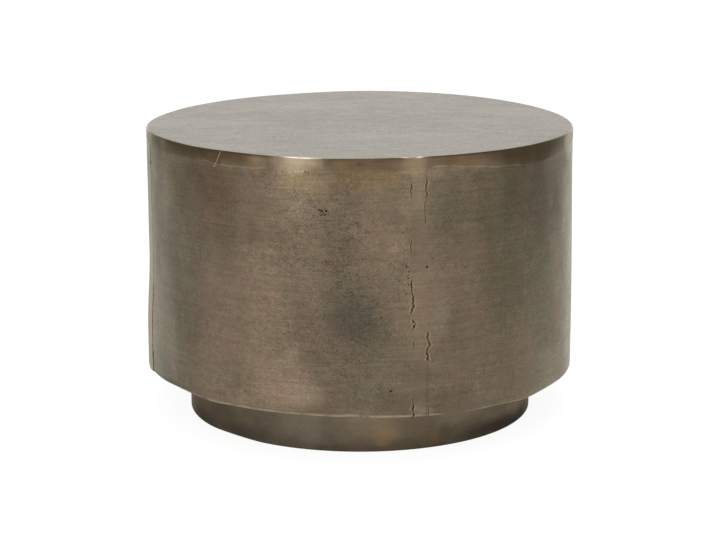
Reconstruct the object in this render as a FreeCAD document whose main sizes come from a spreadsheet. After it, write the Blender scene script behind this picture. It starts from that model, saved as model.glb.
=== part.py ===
"""Round drum coffee table in cast metal plate, standing on a recessed plinth.

The drum is four bent wall panels joined by upright seam strips and closed by a
turned-down top cap. An annular floor plate carries the plinth ring, and four
plastic glides are screwed to lugs inside the plinth.

Millimetres and degrees. +Z is up, the origin is on the floor under the centre,
and the front of the table faces -Y.
"""

import FreeCAD
import Part
import Sketcher

import math
import os

# Driving dimensions: lengths in millimetres, azimuths in degrees from +X, and counts.
SIZES = {
    "table_height": 336,
    "drum_diameter": 500,
    "drum_lift": 53.5,  # floor to the lower edge of the drum
    "wall_thickness": 5,
    "top_thickness": 6,
    "lip_depth": 13,  # turned-down edge of the top cap
    "rim_round": 2.5,
    "hem_round": 1.5,
    "root_round": 3,  # inside corner between the cap's plate and its lip
    "groove_leg": 2,  # half width and depth of the welded groove under the lip
    "seam_count": 4,
    "seam_azimuth": 14.8,
    "seam_width": 17.2,
    "seam_lap": 12,  # reach of a strip's flange behind each panel
    "flange_thickness": 4,
    "flange_headroom": 1,
    "floor_thickness": 5,
    "floor_recess": 6,  # floor plate above the lower edge of the drum
    "floor_opening": 330,
    "plinth_diameter": 400,
    "plinth_thickness": 5,
    "plinth_seam_width": 8,
    "fillet_leg": 4,  # stitch welds under the floor plate
    "stitch_count": 8,
    "floor_stitch_length": 40,
    "plinth_stitch_length": 32,
    "foot_count": 4,
    "foot_inset": 20,  # glide axis to the plinth's inner face
    "lug_width": 38,
    "lug_thickness": 5,
    "lug_fillet_leg": 3,
    "glide_diameter": 30,
    "glide_thickness": 6,
    "glide_drop": 2,  # glide below the plinth's lower edge
    "glide_edge": 1,
    "screw_diameter": 5,
    "screw_head_diameter": 9.2,
    "screw_head_height": 2.1,
    "screw_head_sink": 1,
    "screw_tail": 1.5,
    "screw_clearance": 0.25,
    "nut_width": 8,
    "nut_height": 4,
}

FULL_TURN = 360
HEXAGON_CORNERS = 6

doc = FreeCAD.newDocument("drum_coffee_table")
dims = doc.addObject("Spreadsheet::Sheet", "dims")
for row, (alias, number) in enumerate(SIZES.items(), start=1):
    dims.set(f"A{row}", alias)
    dims.set(f"B{row}", str(number))
    dims.setAlias(f"B{row}", alias)
doc.recompute()


class Size:
    """A length, angle or count: its number now, and the expression that ties a feature to the sheet."""

    def __init__(self, number, text):
        self.number = number
        self.text = text

    def __add__(self, other):
        other = as_size(other)
        return Size(self.number + other.number, f"({self.text} + {other.text})")

    def __sub__(self, other):
        other = as_size(other)
        return Size(self.number - other.number, f"({self.text} - {other.text})")

    def __mul__(self, other):
        other = as_size(other)
        return Size(self.number * other.number, f"({self.text} * {other.text})")

    def __truediv__(self, other):
        other = as_size(other)
        return Size(self.number / other.number, f"({self.text} / {other.text})")


def as_size(value):
    return value if isinstance(value, Size) else Size(value, str(value))


def size(alias):
    return Size(float(getattr(dims, alias)), f"dims.{alias}")


def arc_angle(length, radius):
    """Angle in degrees of an arc of that length."""
    return length / radius * (FULL_TURN / (2 * math.pi))


ZERO = as_size(0)

# Heights and radii that several pieces share.
top_face = size("table_height")
plate_under = top_face - size("top_thickness")
lip_joint = top_face - size("lip_depth")
groove_leg = size("groove_leg")
drum_hem = size("drum_lift")
floor_under = drum_hem + size("floor_recess")
floor_upper = floor_under + size("floor_thickness")
drum_radius = size("drum_diameter") / 2
wall_inner = drum_radius - size("wall_thickness")
flange_inner = wall_inner - size("flange_thickness")
flange_top = plate_under - size("root_round") - size("flange_headroom")
plinth_radius = size("plinth_diameter") / 2
plinth_inner = plinth_radius - size("plinth_thickness")
plinth_hem = size("glide_drop")
lug_under = size("glide_thickness")
lug_upper = lug_under + size("lug_thickness")
foot_radius = plinth_inner - size("foot_inset")
screw_radius = size("screw_diameter") / 2
screw_hole = screw_radius + size("screw_clearance")

# Azimuths: the first seam and the plinth's own seam lie on one line through the centre.
seam_step = as_size(FULL_TURN) / size("seam_count")
seam_angle = arc_angle(size("seam_width"), drum_radius)
panel_angle = seam_step - seam_angle
flange_angle = seam_angle + arc_angle(size("seam_lap") * 2, drum_radius)
back_azimuth = size("seam_azimuth") + 90
plinth_gap_angle = arc_angle(size("plinth_seam_width"), plinth_radius)
foot_step = as_size(FULL_TURN) / size("foot_count")
first_foot_azimuth = size("seam_azimuth") + seam_step / 2

nodes = []


def new_body(label, azimuth=ZERO):
    """A body that will be one node, turned about the table's axis to its azimuth."""
    body = doc.addObject("PartDesign::Body", label)
    body.Label = label
    body.AllowCompound = True
    body.Placement = FreeCAD.Placement(
        FreeCAD.Vector(), FreeCAD.Rotation(FreeCAD.Vector(0, 0, 1), azimuth.number)
    )
    if azimuth is not ZERO:
        body.setExpression("Placement.Rotation.Angle", f"{azimuth.text} * 1 deg")
    nodes.append(body)
    return body


def origin_feature(body, role):
    return next(f for f in body.Origin.OriginFeatures if f.Role == role)


def new_sketch(body, name, role):
    sketch = body.newObject("Sketcher::SketchObject", name)
    sketch.AttachmentSupport = [(origin_feature(body, role), "")]
    sketch.MapMode = "FlatFace"
    return sketch


def bind(sketch, kind, value, *elements):
    """Adds a dimensional constraint whose value follows the sheet."""
    index = sketch.addConstraint(Sketcher.Constraint(kind, *elements, value.number))
    sketch.setExpression(f"Constraints[{index}]", value.text)


def place_point(sketch, element, position, across, up):
    """Holds a sketch point at its distances from the origin."""
    origin = (-1, 1)
    if across is ZERO:
        sketch.addConstraint(Sketcher.Constraint("PointOnObject", element, position, -2))
    else:
        bind(sketch, "DistanceX", across, *origin, element, position)
    if up is ZERO:
        sketch.addConstraint(Sketcher.Constraint("PointOnObject", element, position, -1))
    else:
        bind(sketch, "DistanceY", up, *origin, element, position)


def draw_outline(sketch, corners):
    """Closed outline of straight lines through the corners."""
    points = [FreeCAD.Vector(x.number, y.number, 0) for x, y in corners]
    lines = []
    for start, end in zip(points, points[1:] + points[:1]):
        lines.append(sketch.addGeometry(Part.LineSegment(start, end)))
    for line, following in zip(lines, lines[1:] + lines[:1]):
        sketch.addConstraint(Sketcher.Constraint("Coincident", line, 2, following, 1))
    for line, (x, y) in zip(lines, corners):
        place_point(sketch, line, 1, x, y)


def draw_hole(sketch, centre, radius):
    """Circle on the sketch's horizontal axis."""
    place = FreeCAD.Vector(centre.number, 0, 0)
    hole = sketch.addGeometry(Part.Circle(place, FreeCAD.Vector(0, 0, 1), radius.number))
    place_point(sketch, hole, 3, centre, ZERO)
    bind(sketch, "Radius", radius, hole)
    return hole


def revolve(body, name, corners, angle=None, axis=ZERO):
    """Turns (radius, height) corners about an upright axis: a full turn, or an angle centred on +X.

    The axis is the table's own, or stands at that distance from it along +X.
    """
    sketch = new_sketch(body, f"{name}_profile", "XZ_Plane")
    draw_outline(sketch, [(r if axis is ZERO else axis + r, z) for r, z in corners])
    reference = "V_Axis"
    if axis is not ZERO:
        low = FreeCAD.Vector(axis.number, 0, 0)
        high = FreeCAD.Vector(axis.number, top_face.number, 0)
        line = sketch.addGeometry(Part.LineSegment(low, high), True)
        place_point(sketch, line, 1, axis, ZERO)
        place_point(sketch, line, 2, axis, top_face)
        reference = "Axis0"
    turned = body.newObject("PartDesign::Revolution", name)
    turned.Profile = sketch
    turned.ReferenceAxis = (sketch, [reference])
    if angle is None:
        turned.Angle = FULL_TURN
    else:
        turned.Midplane = True
        turned.Angle = angle.number
        turned.setExpression("Angle", f"{angle.text} * 1 deg")
    doc.recompute()
    return turned


def pad(body, sketch, name, height):
    solid = body.newObject("PartDesign::Pad", name)
    solid.Profile = sketch
    solid.Length = height.number
    solid.setExpression("Length", height.text)
    doc.recompute()
    return solid


def repeat_round(body, feature, name, count):
    """Evenly spaced copies about the table's axis."""
    pattern = body.newObject("PartDesign::PolarPattern", name)
    pattern.Originals = [feature]
    pattern.Axis = (origin_feature(body, "Z_Axis"), [""])
    pattern.Angle = FULL_TURN
    pattern.Occurrences = int(count.number)
    pattern.setExpression("Occurrences", count.text)
    body.Tip = pattern
    doc.recompute()


def round_edge(body, feature, name, radius, height, amount):
    """Fillets the circular edges of that radius at that height."""
    near = 1e-4
    names = []
    for index, edge in enumerate(feature.Shape.Edges, start=1):
        if not isinstance(edge.Curve, Part.Circle):
            continue
        middle = edge.CenterOfMass.z if edge.isClosed() else edge.valueAt(edge.FirstParameter).z
        if abs(edge.Curve.Radius - radius.number) < near and abs(middle - height.number) < near:
            names.append(f"Edge{index}")
    fillet = body.newObject("PartDesign::Fillet", name)
    fillet.Base = (feature, names)
    fillet.Radius = amount.number
    fillet.setExpression("Radius", amount.text)
    doc.recompute()
    return fillet


def make_top_cap():
    body = new_body("top_cap")
    plate = revolve(
        body,
        "cap",
        [
            (ZERO, plate_under),
            (wall_inner, plate_under),
            (wall_inner, lip_joint),
            (drum_radius - groove_leg, lip_joint),
            (drum_radius, lip_joint + groove_leg),
            (drum_radius, top_face),
            (ZERO, top_face),
        ],
    )
    rim = round_edge(body, plate, "rim", drum_radius, top_face, size("rim_round"))
    round_edge(body, rim, "root", wall_inner, plate_under, size("root_round"))


def make_rim_weld():
    """Weld that fills the groove between the cap's lip and the wall, ground flush."""
    revolve(
        new_body("rim_weld"),
        "bead",
        [
            (drum_radius - groove_leg, lip_joint),
            (drum_radius, lip_joint - groove_leg),
            (drum_radius, lip_joint + groove_leg),
        ],
    )


def wall_corners():
    return [
        (wall_inner, drum_hem),
        (drum_radius, drum_hem),
        (drum_radius, lip_joint - groove_leg),
        (drum_radius - groove_leg, lip_joint),
        (wall_inner, lip_joint),
    ]


def make_wall_panel(number):
    azimuth = size("seam_azimuth") + seam_step * (number - 0.5)
    body = new_body(f"wall_panel_{number}", azimuth)
    plate = revolve(body, "plate", wall_corners(), panel_angle)
    round_edge(body, plate, "hem", drum_radius, drum_hem, size("hem_round"))


def make_seam_strip(number):
    """T-section strip: its web fills the gap between two panels, and its flange laps behind them."""
    azimuth = size("seam_azimuth") + seam_step * (number - 1)
    body = new_body(f"seam_strip_{number}", azimuth)
    web = revolve(body, "web", wall_corners(), seam_angle)
    round_edge(body, web, "hem", drum_radius, drum_hem, size("hem_round"))
    revolve(
        body,
        "flange",
        [
            (flange_inner, floor_upper),
            (wall_inner, floor_upper),
            (wall_inner, flange_top),
            (flange_inner, flange_top),
        ],
        flange_angle,
    )


def make_drum_floor():
    opening = size("floor_opening") / 2
    revolve(
        new_body("drum_floor"),
        "annulus",
        [
            (opening, floor_under),
            (wall_inner, floor_under),
            (wall_inner, floor_upper),
            (opening, floor_upper),
        ],
    )


def make_stitches(label, wall_radius, length):
    """Short fillet welds in the corner between an inner wall face and the floor plate above it."""
    leg = size("fillet_leg")
    body = new_body(label, first_foot_azimuth)
    stitch = revolve(
        body,
        "stitch",
        [
            (wall_radius - leg, floor_under),
            (wall_radius, floor_under - leg),
            (wall_radius, floor_under),
        ],
        arc_angle(length, wall_radius),
    )
    repeat_round(body, stitch, "stitches", size("stitch_count"))


def make_plinth():
    corners = [
        (plinth_inner, plinth_hem),
        (plinth_radius, plinth_hem),
        (plinth_radius, floor_under),
        (plinth_inner, floor_under),
    ]
    ring = new_body("plinth_ring", back_azimuth + FULL_TURN / 2)
    revolve(ring, "ring", corners, as_size(FULL_TURN) - plinth_gap_angle)
    revolve(new_body("plinth_seam", back_azimuth), "bead", corners, plinth_gap_angle)


def make_foot_lug(number):
    """Flat lug with a half-round nose, its root curved to the plinth's inner face."""
    body = new_body(f"foot_lug_{number}", first_foot_azimuth + foot_step * (number - 1))
    sketch = new_sketch(body, "lug_outline", "XY_Plane")
    sketch.AttachmentOffset = FreeCAD.Placement(
        FreeCAD.Vector(0, 0, lug_under.number), FreeCAD.Rotation()
    )
    sketch.setExpression("AttachmentOffset.Base.z", lug_under.text)
    half_width = size("lug_width") / 2
    root_across = math.sqrt(plinth_inner.number**2 - half_width.number**2)
    root_turn = math.asin(half_width.number / plinth_inner.number)
    up = FreeCAD.Vector(0, 0, 1)
    nose_centre = FreeCAD.Vector(foot_radius.number, 0, 0)
    sides = []
    for way in (-1, 1):
        start = FreeCAD.Vector(foot_radius.number, way * half_width.number, 0)
        end = FreeCAD.Vector(root_across, way * half_width.number, 0)
        sides.append(sketch.addGeometry(Part.LineSegment(start, end)))
    root_circle = Part.Circle(FreeCAD.Vector(), up, plinth_inner.number)
    root = sketch.addGeometry(Part.ArcOfCircle(root_circle, -root_turn, root_turn))
    nose_circle = Part.Circle(nose_centre, up, half_width.number)
    nose = sketch.addGeometry(Part.ArcOfCircle(nose_circle, math.pi / 2, 3 * math.pi / 2))
    hole = draw_hole(sketch, foot_radius, screw_hole)
    lower, upper = sides
    sketch.addConstraint(
        [
            Sketcher.Constraint("Coincident", root, 3, -1, 1),
            Sketcher.Constraint("Coincident", nose, 3, hole, 3),
            Sketcher.Constraint("Coincident", lower, 2, root, 1),
            Sketcher.Constraint("Coincident", upper, 2, root, 2),
            Sketcher.Constraint("Tangent", upper, 1, nose, 1),
            Sketcher.Constraint("Tangent", lower, 1, nose, 2),
            Sketcher.Constraint("Horizontal", lower),
            Sketcher.Constraint("Horizontal", upper),
        ]
    )
    bind(sketch, "Radius", plinth_inner, root)
    bind(sketch, "Radius", half_width, nose)
    pad(body, sketch, "plate", size("lug_thickness"))


def make_lug_welds():
    leg = size("lug_fillet_leg")
    body = new_body("lug_welds", first_foot_azimuth)
    bead = revolve(
        body,
        "bead",
        [
            (plinth_inner - leg, lug_upper),
            (plinth_inner, lug_upper),
            (plinth_inner, lug_upper + leg),
        ],
        arc_angle(size("lug_width"), plinth_inner),
    )
    repeat_round(body, bead, "beads", size("foot_count"))


head_radius = size("screw_head_diameter") / 2
head_face = size("screw_head_sink")
head_root = head_face + size("screw_head_height")


def make_glide(number):
    """Plastic disc with a countersunk hole, its lower edge bevelled."""
    glide_radius = size("glide_diameter") / 2
    edge = size("glide_edge")
    cone_share = (head_radius - screw_hole) / (head_radius - screw_radius)
    cone_end = head_face + size("screw_head_height") * cone_share
    revolve(
        new_body(f"glide_{number}", first_foot_azimuth + foot_step * (number - 1)),
        "disc",
        [
            (head_radius, ZERO),
            (glide_radius - edge, ZERO),
            (glide_radius, edge),
            (glide_radius, lug_under),
            (screw_hole, lug_under),
            (screw_hole, cone_end),
            (head_radius, head_face),
        ],
        axis=foot_radius,
    )


def make_glide_screws():
    screw_end = lug_upper + size("nut_height") + size("screw_tail")
    body = new_body("glide_screws", first_foot_azimuth)
    screw = revolve(
        body,
        "screw",
        [
            (ZERO, head_face),
            (head_radius, head_face),
            (screw_radius, head_root),
            (screw_radius, screw_end),
            (ZERO, screw_end),
        ],
        axis=foot_radius,
    )
    repeat_round(body, screw, "screws", size("foot_count"))


def make_glide_nuts():
    body = new_body("glide_nuts", first_foot_azimuth)
    sketch = new_sketch(body, "nut_outline", "XY_Plane")
    sketch.AttachmentOffset = FreeCAD.Placement(
        FreeCAD.Vector(0, 0, lug_upper.number), FreeCAD.Rotation()
    )
    sketch.setExpression("AttachmentOffset.Base.z", lug_upper.text)
    flat = size("nut_width") / 2
    corners = []
    for corner in range(HEXAGON_CORNERS):
        turn = 2 * math.pi * corner / HEXAGON_CORNERS
        reach = flat / math.cos(math.pi / HEXAGON_CORNERS)
        across = foot_radius + reach * math.cos(turn)
        corners.append((across, ZERO if corner in (0, 3) else reach * math.sin(turn)))
    draw_outline(sketch, corners)
    draw_hole(sketch, foot_radius, screw_radius)
    nut = pad(body, sketch, "nut", size("nut_height"))
    repeat_round(body, nut, "nuts", size("foot_count"))


def check_document():
    """Stops before anything is written if an object failed or a piece isn't sound."""
    doc.recompute()
    failed = [o.Label for o in doc.Objects if {"Invalid", "Error"} & set(o.State)]
    for body in nodes:
        shape = body.Shape
        if shape.isNull() or not shape.isValid() or not shape.Solids or shape.Volume <= 0:
            failed.append(body.Label)
    if failed:
        raise RuntimeError(f"not built: {sorted(set(failed))}")


make_top_cap()
make_rim_weld()
for seam in range(1, int(dims.seam_count) + 1):
    make_wall_panel(seam)
    make_seam_strip(seam)
make_drum_floor()
make_stitches("drum_floor_welds", wall_inner, size("floor_stitch_length"))
make_plinth()
make_stitches("plinth_welds", plinth_inner, size("plinth_stitch_length"))
for foot in range(1, int(dims.foot_count) + 1):
    make_foot_lug(foot)
    make_glide(foot)
make_lug_welds()
make_glide_screws()
make_glide_nuts()
check_document()

os.makedirs("parts", exist_ok=True)
for node in nodes:
    node.Shape.exportStep(f"parts/{node.Label}.step")
    print(f"{node.Label}: {len(node.Shape.Solids)} solid(s), {node.Shape.Volume / 1000:.2f} cm3")
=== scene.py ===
import math

import bpy
import numpy as np
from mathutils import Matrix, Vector


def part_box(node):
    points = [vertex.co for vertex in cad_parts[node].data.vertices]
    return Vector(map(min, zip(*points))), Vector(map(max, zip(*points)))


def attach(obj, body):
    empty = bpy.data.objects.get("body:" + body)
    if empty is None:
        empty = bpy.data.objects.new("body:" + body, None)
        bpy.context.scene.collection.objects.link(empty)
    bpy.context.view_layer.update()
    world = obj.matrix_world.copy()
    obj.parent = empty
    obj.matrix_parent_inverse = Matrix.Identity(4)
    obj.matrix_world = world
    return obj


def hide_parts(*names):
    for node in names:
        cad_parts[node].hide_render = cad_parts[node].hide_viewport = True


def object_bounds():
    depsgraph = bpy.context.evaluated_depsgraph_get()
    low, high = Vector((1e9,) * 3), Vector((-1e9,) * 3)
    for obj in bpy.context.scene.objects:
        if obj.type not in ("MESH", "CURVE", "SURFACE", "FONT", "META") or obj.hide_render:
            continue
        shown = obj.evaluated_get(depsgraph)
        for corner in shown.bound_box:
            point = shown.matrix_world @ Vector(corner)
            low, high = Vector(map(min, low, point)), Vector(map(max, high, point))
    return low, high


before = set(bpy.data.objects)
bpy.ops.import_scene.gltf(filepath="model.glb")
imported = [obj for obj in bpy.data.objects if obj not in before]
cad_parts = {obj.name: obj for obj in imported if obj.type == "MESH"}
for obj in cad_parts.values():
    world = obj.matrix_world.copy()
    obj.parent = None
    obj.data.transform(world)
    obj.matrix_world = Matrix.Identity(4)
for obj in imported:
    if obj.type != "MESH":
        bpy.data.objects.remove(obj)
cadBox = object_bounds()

scene = bpy.context.scene
mm = 0.001
body = "root"  # nothing on the table moves

capLow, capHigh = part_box("top_cap")
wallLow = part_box("wall_panel_1")[0]
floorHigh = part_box("drum_floor")[1]
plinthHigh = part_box("plinth_ring")[1]
print("frame loaded:", len(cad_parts), "nodes")

drum = {
    "reach": round(cadBox[1].x, 3),  # outermost radius of the wall
    "inset": 2.95 * mm,  # the mean skin lies this far inside it, so that bulges stay within
    "top": capHigh.z - 0.25 * mm,
    "joint": capLow.z,  # lower edge of the cap's lip
    "hem": wallLow.z,  # lower edge of the wall
    "plate": 5 * mm,
    "seams": 4,
    "seamAzimuth": 14.8,  # degrees from +X to the first seam
    "seamWidth": 17.2 * mm,
}
skinRadius = drum["reach"] - drum["inset"]
seamAngle = drum["seamWidth"] / drum["reach"]
seamStep = 2 * math.pi / drum["seams"]


# node wiring

def feed(tree, socket, value):
    if isinstance(value, bpy.types.NodeSocket):
        tree.links.new(value, socket)
    else:
        socket.default_value = value


def deliver(tree, result, **values):
    for name, value in values.items():
        feed(tree, result[name], value)


def addNode(tree, kind, inputs=None, **settings):
    node = tree.nodes.new(kind)
    for name, value in settings.items():
        setattr(node, name, value)
    for name, value in (inputs or {}).items():
        feed(tree, node.inputs[name], value)
    return node


def worked(tree, kind, operation, values):
    node = addNode(tree, kind, operation=operation)
    for socket, value in zip(node.inputs, values):
        feed(tree, socket, value)
    return node.outputs


def sums(tree, operation, *values):
    return worked(tree, "ShaderNodeMath", operation, values)["Value"]


# times(tree, a, b, c) multiplies all of them, and the others work alike
def chained(operation):
    def combine(tree, first, *others):
        for other in others:
            first = sums(tree, operation, first, other)
        return first

    return combine


plus, less, times = chained("ADD"), chained("SUBTRACT"), chained("MULTIPLY")
over, larger, smaller = chained("DIVIDE"), chained("MAXIMUM"), chained("MINIMUM")


def vectorSums(tree, operation, *values):
    single = operation in ("LENGTH", "DISTANCE", "DOT_PRODUCT")
    return worked(tree, "ShaderNodeVectorMath", operation, values)["Value" if single else "Vector"]


def scaled(tree, vector, factor):
    inputs = {"Vector": vector, "Scale": factor}
    return addNode(tree, "ShaderNodeVectorMath", inputs, operation="SCALE").outputs["Vector"]


def ease(tree, value, low, high, start=0.0, end=1.0):
    inputs = {"Value": value, "From Min": low, "From Max": high, "To Min": start, "To Max": end}
    return addNode(tree, "ShaderNodeMapRange", inputs, interpolation_type="SMOOTHSTEP").outputs["Result"]


def noise(tree, vector, scale, detail=2.0, roughness=0.5):
    inputs = {"Vector": vector, "Scale": scale, "Detail": detail, "Roughness": roughness}
    return addNode(tree, "ShaderNodeTexNoise", inputs).outputs["Fac"]


# noise about zero
def ripple(tree, vector, scale, detail=2.0, roughness=0.5):
    return less(tree, noise(tree, vector, scale, detail, roughness), 0.5)


def split(tree, vector):
    return addNode(tree, "ShaderNodeSeparateXYZ", {"Vector": vector}).outputs


def joined(tree, x, y, z):
    return addNode(tree, "ShaderNodeCombineXYZ", {"X": x, "Y": y, "Z": z}).outputs[0]


def flattened(tree, place):
    return joined(tree, place["X"], place["Y"], 0.0)


def turnOf(tree, place):
    return sums(tree, "ARCTAN2", place["Y"], place["X"])


def blend(tree, factor, first, second):
    inputs = {"Factor": factor, "A": first, "B": second}
    return addNode(tree, "ShaderNodeMix", inputs, data_type="FLOAT").outputs["Result"]


def blendColour(tree, factor, first, second, mode="MIX"):
    node = addNode(tree, "ShaderNodeMix", {"Factor": factor}, data_type="RGBA", blend_type=mode)
    colours = [socket for socket in node.inputs if socket.type == "RGBA"]
    feed(tree, colours[0], first)
    feed(tree, colours[1], second)
    return next(socket for socket in node.outputs if socket.type == "RGBA")


def shaded(tree, colour, level):
    return blendColour(tree, 1.0, colour, joined(tree, level, level, level), "MULTIPLY")


def paint(tree, colour, mask, strength, shade):
    return blendColour(tree, times(tree, mask, strength), colour, shade)


# a sample value stands for each socket of a group and tells its kind
origin = (0.0, 0.0, 0.0)
black = (0.0, 0.0, 0.0, 1.0)


def socketKind(sample):
    if isinstance(sample, str):
        return "NodeSocket" + sample
    if isinstance(sample, tuple):
        return "NodeSocketColor" if len(sample) == 4 else "NodeSocketVector"
    return "NodeSocketInt" if isinstance(sample, int) else "NodeSocketFloat"


def newGroup(kind, name, inputs, outputs):
    tree = bpy.data.node_groups.new(name, kind + "NodeTree")
    for side, samples in (("INPUT", inputs), ("OUTPUT", outputs)):
        for label, sample in samples.items():
            socket = tree.interface.new_socket(label, in_out=side, socket_type=socketKind(sample))
            if not isinstance(sample, str):
                socket.default_value = sample
    return tree, tree.nodes.new("NodeGroupInput").outputs, tree.nodes.new("NodeGroupOutput").inputs


def placeGroup(tree, group, **inputs):
    kind = group.bl_idname.replace("Tree", "Group")
    return addNode(tree, kind, inputs, node_tree=group).outputs


# pieces

def newPiece(name, points, faces):
    mesh = bpy.data.meshes.new(name)
    mesh.from_pydata([tuple(p) for p in points], [], faces)
    mesh.update()
    piece = bpy.data.objects.new(name, mesh)
    scene.collection.objects.link(piece)
    return piece


# points past the end of the values get zero
def setAttribute(piece, name, values):
    full = np.zeros(len(piece.data.vertices), np.float32)
    full[: len(values)] = values
    piece.data.attributes.new(name, "FLOAT", "POINT").data.foreach_set("value", full)


def runTree(piece, tree, **values):
    modifier = piece.modifiers.new(tree.name, "NODES")
    modifier.node_group = tree
    for item in tree.interface.items_tree:
        if item.item_type == "SOCKET" and item.in_out == "INPUT" and item.name in values:
            modifier[item.identifier] = values[item.name]


def settle(piece):
    graph = bpy.context.evaluated_depsgraph_get()
    shaped = piece.evaluated_get(graph)
    mesh = bpy.data.meshes.new_from_object(shaped, preserve_all_data_layers=True, depsgraph=graph)
    piece.modifiers.clear()
    piece.data = mesh
    mesh.name = piece.name


def stands(piece, slotName, *nodes):
    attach(piece, body)
    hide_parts(*nodes)


def coat(piece, material):
    piece.data.materials.clear()
    piece.data.materials.append(material)


# a point on an upright round face, from azimuth in degrees and height in mm
def onRound(radius, azimuth, height):
    turn = math.radians(azimuth)
    return (radius * math.cos(turn), radius * math.sin(turn), height * mm)


# colours are written as they look on a screen
def tone(red, green, blue):
    channels = []
    for level in (red / 255, green / 255, blue / 255):
        channels.append(level / 12.92 if level <= 0.04045 else ((level + 0.055) / 1.055) ** 2.4)
    return (*channels, 1.0)


white = tone(255, 255, 255)


# shader groups that several finishes share

def makeSandGrain():
    scales = {"Grain": 560.0, "Mottle": 150.0, "Patches": 30.0, "Cells": 600.0}
    inputs = {"Vector": origin, **scales, "Contrast": 0.5}
    outputs = dict.fromkeys(("Height", "Shade", "Speck", "Pepper"), 0.0)
    tree, given, result = newGroup("Shader", "sandGrain", inputs, outputs)
    place = given["Vector"]
    fine = ripple(tree, place, given["Grain"], 3, 0.75)
    mottle = ripple(tree, place, given["Mottle"])
    where = ease(tree, noise(tree, place, given["Patches"]), 0.38, 0.62, 0.7, 1.0)
    grain = times(tree, sums(tree, "MULTIPLY_ADD", mottle, 0.3, fine), where)
    cells = addNode(tree, "ShaderNodeTexVoronoi", {"Vector": place, "Scale": given["Cells"]}).outputs
    dots = ease(tree, cells["Distance"], 0.45, 0.15)
    kept = ease(tree, split(tree, cells["Color"])["X"], 0.5, 0.6)  # about half of the cells hold a dot
    shade = plus(tree, times(tree, grain, given["Contrast"]), 1.0)
    speck = ease(tree, grain, -0.1, -0.24)
    deliver(tree, result, Height=grain, Shade=shade, Speck=speck, Pepper=times(tree, dots, kept, where))
    return tree


def makeBrushLines():
    inputs = {"Vector": origin, "Fine": (12.0, 12.0, 420.0), "Broad": (4.0, 4.0, 60.0)}
    tree, given, result = newGroup("Shader", "brushLines", inputs, {"Line": 0.0, "Sweep": 0.0})
    fine = vectorSums(tree, "MULTIPLY", given["Vector"], given["Fine"])
    broad = vectorSums(tree, "MULTIPLY", given["Vector"], given["Broad"])
    deliver(tree, result, Line=noise(tree, fine, 1.0, 3, 0.6), Sweep=noise(tree, broad, 1.0))
    return tree


def makePatina():
    inputs = {"Vector": origin, "Columns": (9.0, 9.0, 2.2), "Patches": 19.0}
    inputs.update(dict.fromkeys(("Dark", "Middle", "Light"), black))
    tree, given, result = newGroup("Shader", "patina", inputs, {"Color": black, "Wear": 0.0})
    tall = vectorSums(tree, "MULTIPLY", given["Vector"], given["Columns"])
    column = ease(tree, noise(tree, tall, 1.0, 2, 0.45), 0.3, 0.7, 0.0, 0.55)
    patch = ease(tree, noise(tree, given["Vector"], given["Patches"], 4, 0.6), 0.3, 0.7, 0.0, 0.45)
    wear = plus(tree, column, patch)
    low = blendColour(tree, ease(tree, wear, 0.1, 0.5), given["Dark"], given["Middle"])
    colour = blendColour(tree, ease(tree, wear, 0.5, 0.9), low, given["Light"])
    deliver(tree, result, Color=colour, Wear=wear)
    return tree


def makeSoftSpot():
    inputs = {"Vector": origin, "Centre": origin, "Size": origin, "Torn": 0.0}
    tree, given, result = newGroup("Shader", "softSpot", inputs, {"Mask": 0.0})
    offset = vectorSums(tree, "SUBTRACT", given["Vector"], given["Centre"])
    away = vectorSums(tree, "LENGTH", vectorSums(tree, "DIVIDE", offset, given["Size"]))
    deliver(tree, result, Mask=ease(tree, plus(tree, given["Torn"], away), 1.0, 0.15))
    return tree


def makeScratch():
    inputs = {"Vector": origin, "Start": origin, "End": origin, "Half": 0.0}
    tree, given, result = newGroup("Shader", "scratch", inputs, {"Mask": 0.0})
    run = vectorSums(tree, "SUBTRACT", given["End"], given["Start"])
    offset = vectorSums(tree, "SUBTRACT", given["Vector"], given["Start"])
    along = vectorSums(tree, "DOT_PRODUCT", offset, run)
    share = over(tree, along, vectorSums(tree, "DOT_PRODUCT", run, run))
    foot = scaled(tree, run, addNode(tree, "ShaderNodeClamp", {"Value": share}).outputs[0])
    away = over(tree, vectorSums(tree, "DISTANCE", offset, foot), given["Half"])
    deliver(tree, result, Mask=ease(tree, away, 1.0, 0.3))
    return tree


sandGrain = makeSandGrain()
brushLines = makeBrushLines()
patina = makePatina()
softSpot = makeSoftSpot()
scratch = makeScratch()


def placePatina(tree, place, tones, **sizes):
    dark, middle, light = (tone(*shade) for shade in tones)
    return placeGroup(tree, patina, Vector=place, Dark=dark, Middle=middle, Light=light, **sizes)


# spreads and widths are in mm
def spotMask(tree, place, radius, azimuth, height, around, up, torn=0.0):
    centre = onRound(radius, azimuth, height)
    size = (around * mm, around * mm, up * mm)
    return placeGroup(tree, softSpot, Vector=place, Centre=centre, Size=size, Torn=torn)["Mask"]


def paintSpots(tree, place, colour, radius, spots, torn):
    for *where, shade, strength in spots:
        mask = spotMask(tree, place, radius, *where, torn)
        colour = paint(tree, colour, mask, strength, tone(*shade))
    return colour


def paintLine(tree, place, colour, start, end, half, shade, strength):
    mask = placeGroup(tree, scratch, Vector=place, Start=start, End=end, Half=half * mm)["Mask"]
    return paint(tree, colour, mask, strength, tone(*shade))


# how ragged the edge of a spot is
def tear(tree, place):
    return ripple(tree, place, 42.0, 4, 0.62)


# a shade that swings about its level as the brush lines do
def streaked(tree, line, share, level=1.0):
    return ease(tree, line, 0.25, 0.75, level - share, level + share)


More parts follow.
